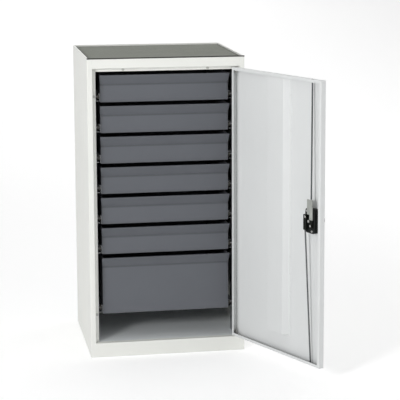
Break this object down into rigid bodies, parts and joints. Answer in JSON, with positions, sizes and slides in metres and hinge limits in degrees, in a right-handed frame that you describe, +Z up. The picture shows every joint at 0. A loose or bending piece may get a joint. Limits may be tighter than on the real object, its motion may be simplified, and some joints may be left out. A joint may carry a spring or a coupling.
{
  "type": "reagent drawer cabinet",
  "caption": "Floor-standing sheet-steel cabinet with a hinged locking door, roller-borne storage drawers with bent grips and a matted top.",
  "frame": {"origin": "middle of the cabinet's base, on the floor", "axes": "+Z up, the drawers pull out towards -Y, +X to the right seen from the front, where the door is hinged"},
  "size_m": [0.7021, 0.911, 1],
  "materials": {
    "body_paint": "fine satin powder coat, near white",
    "door_paint": "fine satin powder coat, near white",
    "floor_paint": "satin powder coat, light grey",
    "drawer_paint": "satin powder coat, mid grey",
    "runner_steel": "zinc plated steel",
    "plated_steel": "bright plated steel",
    "rod_steel": "drawn steel rod",
    "mat": "grey ribbed rubber",
    "black_rubber": "soft black rubber",
    "lock_plastic": "moulded black plastic",
    "nylon": "natural nylon"
  },
  "bodies": {
    "cabinet": {"left_side_panel": "body_paint", "right_side_panel": "body_paint", "header": "body_paint", "plinth": "body_paint", "floor_panel": "floor_paint", "back_panel": "floor_paint", "top_tray": "body_paint", "top_mat": "mat", "uprights": "runner_steel", "fixed_rails": "runner_steel", "hinge_pins": "plated_steel", "door_buffers": "black_rubber"},
    "door": {"door_panel": "door_paint", "hinge_brackets": "plated_steel", "hinge_bushes": "nylon", "door_stiffener": "door_paint", "lock_case": "lock_plastic", "rod_guides": "lock_plastic", "handle_rose": "lock_plastic"},
    "handle": {"turn_handle": "lock_plastic", "cam_plate": "plated_steel"},
    "lock_barrel": {"lock_cylinder": "plated_steel"},
    "upper_rod": {"upper_rod": "rod_steel"},
    "lower_rod": {"lower_rod": "rod_steel"},
    "drawer_1": {"drawer_1_front": "drawer_paint", "drawer_1_tray": "drawer_paint", "drawer_1_glide_rails": "runner_steel"},
    "drawer_1_rear_rollers": {"drawer_1_rear_rollers": "nylon"},
    "drawer_1_front_rollers": {"drawer_1_front_rollers": "nylon"},
    "drawer_2": {"drawer_2_front": "drawer_paint", "drawer_2_tray": "drawer_paint", "drawer_2_glide_rails": "runner_steel"},
    "drawer_2_rear_rollers": {"drawer_2_rear_rollers": "nylon"},
    "drawer_2_front_rollers": {"drawer_2_front_rollers": "nylon"},
    "drawer_3": {"drawer_3_front": "drawer_paint", "drawer_3_tray": "drawer_paint", "drawer_3_glide_rails": "runner_steel"},
    "drawer_3_rear_rollers": {"drawer_3_rear_rollers": "nylon"},
    "drawer_3_front_rollers": {"drawer_3_front_rollers": "nylon"},
    "drawer_4": {"drawer_4_front": "drawer_paint", "drawer_4_tray": "drawer_paint", "drawer_4_glide_rails": "runner_steel"},
    "drawer_4_rear_rollers": {"drawer_4_rear_rollers": "nylon"},
    "drawer_4_front_rollers": {"drawer_4_front_rollers": "nylon"},
    "drawer_5": {"drawer_5_front": "drawer_paint", "drawer_5_tray": "drawer_paint", "drawer_5_glide_rails": "runner_steel"},
    "drawer_5_rear_rollers": {"drawer_5_rear_rollers": "nylon"},
    "drawer_5_front_rollers": {"drawer_5_front_rollers": "nylon"},
    "drawer_6": {"drawer_6_front": "drawer_paint", "drawer_6_tray": "drawer_paint", "drawer_6_glide_rails": "runner_steel"},
    "drawer_6_rear_rollers": {"drawer_6_rear_rollers": "nylon"},
    "drawer_6_front_rollers": {"drawer_6_front_rollers": "nylon"},
    "large_drawer": {"large_drawer_front": "drawer_paint", "large_drawer_tray": "drawer_paint", "large_drawer_glide_rails": "runner_steel"},
    "large_drawer_rear_rollers": {"large_drawer_rear_rollers": "nylon"},
    "large_drawer_front_rollers": {"large_drawer_front_rollers": "nylon"}
  },
  "joints": [
    {"name": "door_hinge", "type": "hinge", "parent": "cabinet", "child": "door", "pos_m": [0.233, -0.234, 0.051], "axis": [0, 0, 1], "range_deg": [-114, 0]},
    {"name": "handle_turn", "type": "hinge", "parent": "door", "child": "handle", "pos_m": [0.40931, -0.61525, 0.517], "axis": [-0.9135, -0.4067, 0], "range_deg": [0, 90]},
    {"name": "lock_cylinder_turn", "type": "hinge", "parent": "handle", "child": "lock_barrel", "pos_m": [0.40931, -0.61525, 0.517], "axis": [-0.9135, -0.4067, 0], "range_deg": [0, 90]},
    {"name": "upper_rod_slide", "type": "slide", "parent": "door", "child": "upper_rod", "axis": [0.0141, 0.0455, 0.9989], "range_m": [0, 0.02566]},
    {"name": "lower_rod_slide", "type": "slide", "parent": "door", "child": "lower_rod", "axis": [0.0413, -0.0191, -0.999], "range_m": [0, 0.02566]},
    {"name": "drawer_1_slide", "type": "slide", "parent": "cabinet", "child": "drawer_1", "axis": [0, -1, 0], "range_m": [0, 0.255]},
    {"name": "drawer_1_rear_rollers_spin", "type": "hinge", "parent": "drawer_1", "child": "drawer_1_rear_rollers", "pos_m": [0, 0.191, 0.8643], "axis": [1, 0, 0], "range_deg": [-1, 1700]},
    {"name": "drawer_1_front_rollers_spin", "type": "hinge", "parent": "cabinet", "child": "drawer_1_front_rollers", "pos_m": [0, -0.172, 0.8677], "axis": [1, 0, 0], "range_deg": [-1, 1700]},
    {"name": "drawer_2_slide", "type": "slide", "parent": "cabinet", "child": "drawer_2", "axis": [0, -1, 0], "range_m": [0, 0.255]},
    {"name": "drawer_2_rear_rollers_spin", "type": "hinge", "parent": "drawer_2", "child": "drawer_2_rear_rollers", "pos_m": [0, 0.191, 0.7623], "axis": [1, 0, 0], "range_deg": [-1, 1700]},
    {"name": "drawer_2_front_rollers_spin", "type": "hinge", "parent": "cabinet", "child": "drawer_2_front_rollers", "pos_m": [0, -0.172, 0.7657], "axis": [1, 0, 0], "range_deg": [-1, 1700]},
    {"name": "drawer_3_slide", "type": "slide", "parent": "cabinet", "child": "drawer_3", "axis": [0, -1, 0], "range_m": [0, 0.255]},
    {"name": "drawer_3_rear_rollers_spin", "type": "hinge", "parent": "drawer_3", "child": "drawer_3_rear_rollers", "pos_m": [0, 0.191, 0.6603], "axis": [1, 0, 0], "range_deg": [-1, 1700]},
    {"name": "drawer_3_front_rollers_spin", "type": "hinge", "parent": "cabinet", "child": "drawer_3_front_rollers", "pos_m": [0, -0.172, 0.6637], "axis": [1, 0, 0], "range_deg": [-1, 1700]},
    {"name": "drawer_4_slide", "type": "slide", "parent": "cabinet", "child": "drawer_4", "axis": [0, -1, 0], "range_m": [0, 0.255]},
    {"name": "drawer_4_rear_rollers_spin", "type": "hinge", "parent": "drawer_4", "child": "drawer_4_rear_rollers", "pos_m": [0, 0.191, 0.5583], "axis": [1, 0, 0], "range_deg": [-1, 1700]},
    {"name": "drawer_4_front_rollers_spin", "type": "hinge", "parent": "cabinet", "child": "drawer_4_front_rollers", "pos_m": [0, -0.172, 0.5617], "axis": [1, 0, 0], "range_deg": [-1, 1700]},
    {"name": "drawer_5_slide", "type": "slide", "parent": "cabinet", "child": "drawer_5", "axis": [0, -1, 0], "range_m": [0, 0.255]},
    {"name": "drawer_5_rear_rollers_spin", "type": "hinge", "parent": "drawer_5", "child": "drawer_5_rear_rollers", "pos_m": [0, 0.191, 0.4563], "axis": [1, 0, 0], "range_deg": [-1, 1700]},
    {"name": "drawer_5_front_rollers_spin", "type": "hinge", "parent": "cabinet", "child": "drawer_5_front_rollers", "pos_m": [0, -0.172, 0.4597], "axis": [1, 0, 0], "range_deg": [-1, 1700]},
    {"name": "drawer_6_slide", "type": "slide", "parent": "cabinet", "child": "drawer_6", "axis": [0, -1, 0], "range_m": [0, 0.255]},
    {"name": "drawer_6_rear_rollers_spin", "type": "hinge", "parent": "drawer_6", "child": "drawer_6_rear_rollers", "pos_m": [0, 0.191, 0.3543], "axis": [1, 0, 0], "range_deg": [-1, 1700]},
    {"name": "drawer_6_front_rollers_spin", "type": "hinge", "parent": "cabinet", "child": "drawer_6_front_rollers", "pos_m": [0, -0.172, 0.3577], "axis": [1, 0, 0], "range_deg": [-1, 1700]},
    {"name": "large_drawer_slide", "type": "slide", "parent": "cabinet", "child": "large_drawer", "axis": [0, -1, 0], "range_m": [0, 0.255]},
    {"name": "large_drawer_rear_rollers_spin", "type": "hinge", "parent": "large_drawer", "child": "large_drawer_rear_rollers", "pos_m": [0, 0.191, 0.1503], "axis": [1, 0, 0], "range_deg": [-1, 1700]},
    {"name": "large_drawer_front_rollers_spin", "type": "hinge", "parent": "cabinet", "child": "large_drawer_front_rollers", "pos_m": [0, -0.172, 0.1537], "axis": [1, 0, 0], "range_deg": [-1, 1700]}
  ],
  "couplings": [
    {"joint": "upper_rod_slide", "follows": "handle_turn", "m_per_rad": 0.016206},
    {"joint": "lower_rod_slide", "follows": "handle_turn", "m_per_rad": 0.016206},
    {"joint": "drawer_1_rear_rollers_spin", "follows": "drawer_1_slide", "rad_per_m": 111.11},
    {"joint": "drawer_1_front_rollers_spin", "follows": "drawer_1_slide", "rad_per_m": 111.11},
    {"joint": "drawer_2_rear_rollers_spin", "follows": "drawer_2_slide", "rad_per_m": 111.11},
    {"joint": "drawer_2_front_rollers_spin", "follows": "drawer_2_slide", "rad_per_m": 111.11},
    {"joint": "drawer_3_rear_rollers_spin", "follows": "drawer_3_slide", "rad_per_m": 111.11},
    {"joint": "drawer_3_front_rollers_spin", "follows": "drawer_3_slide", "rad_per_m": 111.11},
    {"joint": "drawer_4_rear_rollers_spin", "follows": "drawer_4_slide", "rad_per_m": 111.11},
    {"joint": "drawer_4_front_rollers_spin", "follows": "drawer_4_slide", "rad_per_m": 111.11},
    {"joint": "drawer_5_rear_rollers_spin", "follows": "drawer_5_slide", "rad_per_m": 111.11},
    {"joint": "drawer_5_front_rollers_spin", "follows": "drawer_5_slide", "rad_per_m": 111.11},
    {"joint": "drawer_6_rear_rollers_spin", "follows": "drawer_6_slide", "rad_per_m": 111.11},
    {"joint": "drawer_6_front_rollers_spin", "follows": "drawer_6_slide", "rad_per_m": 111.11},
    {"joint": "large_drawer_rear_rollers_spin", "follows": "large_drawer_slide", "rad_per_m": 111.11},
    {"joint": "large_drawer_front_rollers_spin", "follows": "large_drawer_slide", "rad_per_m": 111.11}
  ]
}
